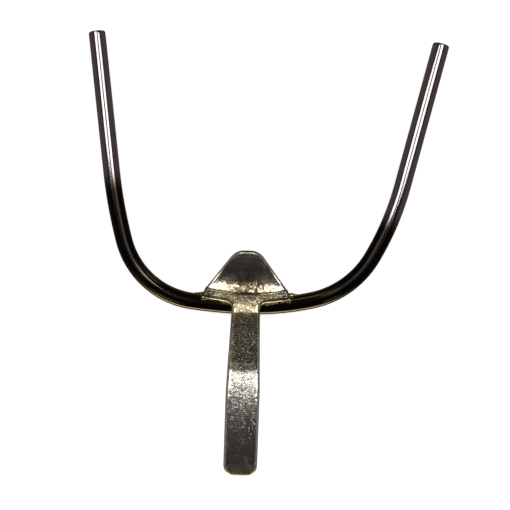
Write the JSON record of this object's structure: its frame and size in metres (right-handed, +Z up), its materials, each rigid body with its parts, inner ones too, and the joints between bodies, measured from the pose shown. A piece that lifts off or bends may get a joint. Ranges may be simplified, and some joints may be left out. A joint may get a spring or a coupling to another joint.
{
  "type": "frame grip",
  "caption": "Two-pronged hand fork for beehive frames: bent round bar with an arched flat handle strap and an upcurled thumb tongue welded across its base.",
  "frame": {"origin": "bottom centre of the bounding box, on the surface that the fork lies on", "axes": "+Y from the handle to the prong tips, +Z up from the surface that it lies on, +X to the right seen from above"},
  "size_m": [0.1718, 0.206, 0.031],
  "materials": {
    "polished_bar": "bright drawn stainless bar, polished",
    "tumbled_strip": "satin stainless strip, tumbled, fine random scratches",
    "weld_metal": "stainless weld, rippled and brushed, light straw tint"
  },
  "bodies": {
    "root": {"fork_rod": "polished_bar", "handle_strap": "tumbled_strip", "thumb_tongue": "tumbled_strip", "weld_rear": "weld_metal", "weld_neck": "weld_metal", "weld_front_left": "weld_metal", "weld_front_right": "weld_metal", "weld_tongue_left": "weld_metal", "weld_tongue_right": "weld_metal", "weld_tongue_back": "weld_metal"}
  },
  "joints": []
}
